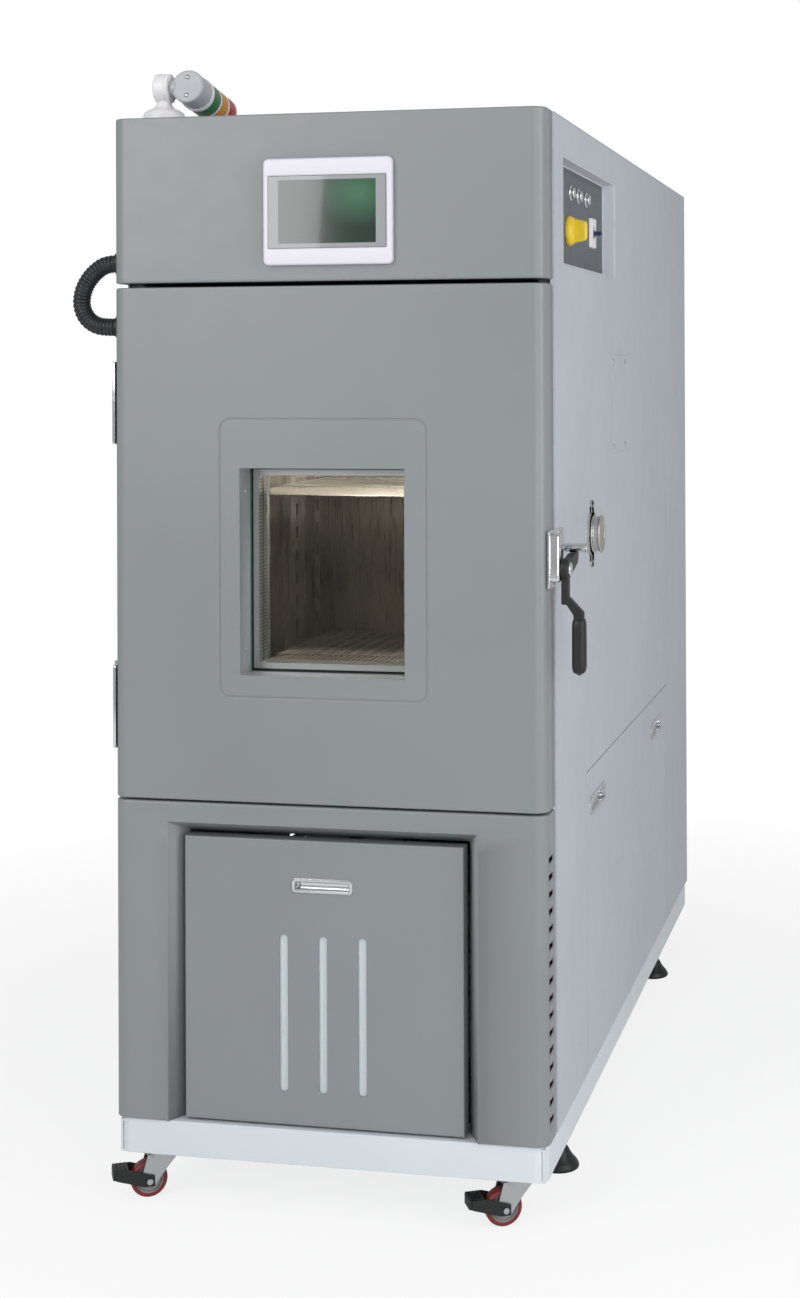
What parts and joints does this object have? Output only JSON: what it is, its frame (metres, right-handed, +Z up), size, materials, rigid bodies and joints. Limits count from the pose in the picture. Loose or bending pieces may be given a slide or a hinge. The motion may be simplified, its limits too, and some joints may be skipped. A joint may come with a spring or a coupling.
{
  "type": "environmental test chamber",
  "caption": "Narrow floor-standing temperature and humidity test chamber with a windowed door, touch panel, folding signal lamp, water drawer, casters and feet.",
  "frame": {"origin": "middle of the underside of the box around the whole object without its hose, on the floor", "axes": "+Z up, +X to the right seen from the front, +Y to the back; the door faces -Y"},
  "size_m": [0.7167, 1.429, 1.5464],
  "materials": {
    "grey_paint": "satin",
    "body_paint": "satin",
    "base_paint": "satin",
    "tray_paint": "satin",
    "dark_paint": "satin",
    "stainless": "satin",
    "zinc": "satin",
    "chrome": "polished",
    "foam": "matte",
    "glass": "gloss",
    "screen": "gloss",
    "bezel_plastic": "satin",
    "black_plastic": "satin",
    "yellow_plastic": "gloss",
    "blue_plastic": "gloss",
    "lamp_plastic": "satin",
    "lens_plastic": "gloss",
    "seal_rubber": "matte",
    "hose_rubber": "satin",
    "caster_tyre": "satin",
    "tank_plastic": "satin",
    "motor_cast": "satin"
  },
  "bodies": {
    "cabinet": {"base_frame": "base_paint", "left_side_panel": "body_paint", "right_side_panel": "body_paint", "roof_panel": "body_paint", "rear_cover": "body_paint", "header_fascia": "grey_paint", "lower_fascia": "grey_paint", "screen_bezel": "bezel_plastic", "touch_screen": "screen", "chamber_liner": "stainless", "chamber_insulation": "foam", "air_duct_plate": "stainless", "shelf_uprights": "stainless", "shelves": "stainless", "fan_motor": "motor_cast", "control_tray": "tray_paint", "test_port": "stainless", "latch_strike": "chrome", "cabinet_hinge_leaves": "chrome", "lamp_base": "lamp_plastic", "cable_hose": "hose_rubber", "drawer_runners": "zinc", "refrigeration_unit": "dark_paint"},
    "door": {"door_shell": "grey_paint", "door_liner": "stainless", "window_frame": "grey_paint", "window_panes": "glass", "door_gasket": "seal_rubber", "latch_base": "chrome", "door_hinge_leaves": "chrome"},
    "latch_lever": {"latch_lever": "black_plastic"},
    "lamp": {"lamp_housing": "lamp_plastic", "lamp_lenses": "lens_plastic"},
    "drawer": {"drawer_front": "grey_paint", "water_tank": "tank_plastic"},
    "blower": {"circulation_fan": "zinc"},
    "cooling_fan": {"condenser_fan": "zinc"},
    "button_1": {"push_button_1": "chrome"},
    "button_2": {"push_button_2": "chrome"},
    "button_3": {"push_button_3": "chrome"},
    "knob": {"main_switch_knob": "yellow_plastic"},
    "toggle": {"breaker_toggle": "blue_plastic"},
    "port_cap": {"test_port_cap": "stainless"},
    "access_door": {"access_panel": "body_paint"},
    "front_lock": {"lock_paddle_front": "chrome"},
    "rear_lock": {"lock_paddle_rear": "chrome"},
    "front_left_swivel": {"front_left_caster_fork": "zinc"},
    "front_left_wheel": {"front_left_caster_wheel": "caster_tyre"},
    "front_left_pedal": {"front_left_brake_pedal": "black_plastic"},
    "front_right_swivel": {"front_right_caster_fork": "zinc"},
    "front_right_wheel": {"front_right_caster_wheel": "caster_tyre"},
    "front_right_pedal": {"front_right_brake_pedal": "black_plastic"},
    "rear_left_swivel": {"rear_left_caster_fork": "zinc"},
    "rear_left_wheel": {"rear_left_caster_wheel": "caster_tyre"},
    "rear_right_swivel": {"rear_right_caster_fork": "zinc"},
    "rear_right_wheel": {"rear_right_caster_wheel": "caster_tyre"},
    "front_left_foot": {"front_left_levelling_foot": "black_plastic"},
    "front_right_foot": {"front_right_levelling_foot": "black_plastic"},
    "rear_left_foot": {"rear_left_levelling_foot": "black_plastic"},
    "rear_right_foot": {"rear_right_levelling_foot": "black_plastic"}
  },
  "joints": [
    {"name": "door_hinge", "type": "hinge", "parent": "cabinet", "child": "door", "pos_m": [-0.32475, -0.6495, 0.9], "axis": [0, 0, 1], "range_deg": [-115, 0], "deforming": ["cable_hose"]},
    {"name": "latch_turn", "type": "hinge", "parent": "door", "child": "latch_lever", "pos_m": [0.30225, -0.6795, 0.866], "axis": [1, 0, 0], "range_deg": [-90, 0]},
    {"name": "lamp_fold", "type": "hinge", "parent": "cabinet", "child": "lamp", "pos_m": [-0.23675, -0.6125, 1.522], "axis": [1, 0, 0], "range_deg": [0, 99]},
    {"name": "drawer_slide", "type": "slide", "parent": "cabinet", "child": "drawer", "axis": [0, -1, 0], "range_m": [0, 0.3]},
    {"name": "blower_spin", "type": "hinge", "parent": "cabinet", "child": "blower", "pos_m": [-0.01275, -0.1075, 0.96], "axis": [0, 1, 0], "continuous": true},
    {"name": "cooling_fan_spin", "type": "hinge", "parent": "cabinet", "child": "cooling_fan", "pos_m": [-0.01275, 0.3445, 0.31], "axis": [0, 1, 0], "continuous": true},
    {"name": "button_1_press", "type": "slide", "parent": "cabinet", "child": "button_1", "axis": [-1, 0, 0], "range_m": [0, 0.003], "stiffness_N_per_m": 600},
    {"name": "button_2_press", "type": "slide", "parent": "cabinet", "child": "button_2", "axis": [-1, 0, 0], "range_m": [0, 0.003], "stiffness_N_per_m": 600},
    {"name": "button_3_press", "type": "slide", "parent": "cabinet", "child": "button_3", "axis": [-1, 0, 0], "range_m": [0, 0.003], "stiffness_N_per_m": 600},
    {"name": "knob_turn", "type": "hinge", "parent": "cabinet", "child": "knob", "pos_m": [0.26725, -0.4435, 1.325], "axis": [1, 0, 0], "range_deg": [-90, 0]},
    {"name": "toggle_rock", "type": "hinge", "parent": "cabinet", "child": "toggle", "pos_m": [0.26725, -0.2515, 1.334], "axis": [0, 1, 0], "range_deg": [-35, 35]},
    {"name": "port_cap_pull", "type": "slide", "parent": "cabinet", "child": "port_cap", "axis": [1, 0, 0], "range_m": [0, 0.065]},
    {"name": "access_panel_tilt", "type": "hinge", "parent": "cabinet", "child": "access_door", "pos_m": [0.2865, -0.0055, 0.117], "axis": [0, 1, 0], "range_deg": [0, 35]},
    {"name": "front_lock_pull", "type": "hinge", "parent": "access_door", "child": "front_lock", "pos_m": [0.28485, -0.3929, 0.494], "axis": [0, 0, -1], "range_deg": [0, 40]},
    {"name": "rear_lock_pull", "type": "hinge", "parent": "access_door", "child": "rear_lock", "pos_m": [0.28485, 0.2141, 0.494], "axis": [0, 0, -1], "range_deg": [0, 40]},
    {"name": "front_left_swivel_turn", "type": "hinge", "parent": "cabinet", "child": "front_left_swivel", "pos_m": [-0.26075, -0.6605, 0.0667], "axis": [0, 0, 1], "continuous": true},
    {"name": "front_left_wheel_spin", "type": "hinge", "parent": "front_left_swivel", "child": "front_left_wheel", "pos_m": [-0.27841, -0.66989, 0.025], "axis": [0.4695, -0.8829, 0], "continuous": true},
    {"name": "front_left_brake_press", "type": "hinge", "parent": "front_left_swivel", "child": "front_left_pedal", "pos_m": [-0.27841, -0.66989, 0.025], "axis": [0.4695, -0.8829, 0], "range_deg": [0, 12]},
    {"name": "front_right_swivel_turn", "type": "hinge", "parent": "cabinet", "child": "front_right_swivel", "pos_m": [0.23525, -0.6605, 0.0667], "axis": [0, 0, 1], "continuous": true},
    {"name": "front_right_wheel_spin", "type": "hinge", "parent": "front_right_swivel", "child": "front_right_wheel", "pos_m": [0.21759, -0.66989, 0.025], "axis": [0.4695, -0.8829, 0], "continuous": true},
    {"name": "front_right_brake_press", "type": "hinge", "parent": "front_right_swivel", "child": "front_right_pedal", "pos_m": [0.21759, -0.66989, 0.025], "axis": [0.4695, -0.8829, 0], "range_deg": [0, 12]},
    {"name": "rear_left_swivel_turn", "type": "hinge", "parent": "cabinet", "child": "rear_left_swivel", "pos_m": [-0.26075, 0.6395, 0.0667], "axis": [0, 0, 1], "continuous": true},
    {"name": "rear_left_wheel_spin", "type": "hinge", "parent": "rear_left_swivel", "child": "rear_left_wheel", "pos_m": [-0.24262, 0.64795, 0.025], "axis": [-0.4226, 0.9063, 0], "continuous": true},
    {"name": "rear_right_swivel_turn", "type": "hinge", "parent": "cabinet", "child": "rear_right_swivel", "pos_m": [0.23525, 0.6395, 0.0667], "axis": [0, 0, 1], "continuous": true},
    {"name": "rear_right_wheel_spin", "type": "hinge", "parent": "rear_right_swivel", "child": "rear_right_wheel", "pos_m": [0.21712, 0.64795, 0.025], "axis": [-0.4226, -0.9063, 0], "continuous": true},
    {"name": "front_left_foot_screw", "type": "slide", "parent": "cabinet", "child": "front_left_foot", "axis": [0, 0, -1], "range_m": [0, 0.015]},
    {"name": "front_right_foot_screw", "type": "slide", "parent": "cabinet", "child": "front_right_foot", "axis": [0, 0, -1], "range_m": [0, 0.015]},
    {"name": "rear_left_foot_screw", "type": "slide", "parent": "cabinet", "child": "rear_left_foot", "axis": [0, 0, -1], "range_m": [0, 0.015]},
    {"name": "rear_right_foot_screw", "type": "slide", "parent": "cabinet", "child": "rear_right_foot", "axis": [0, 0, -1], "range_m": [0, 0.015]}
  ]
}
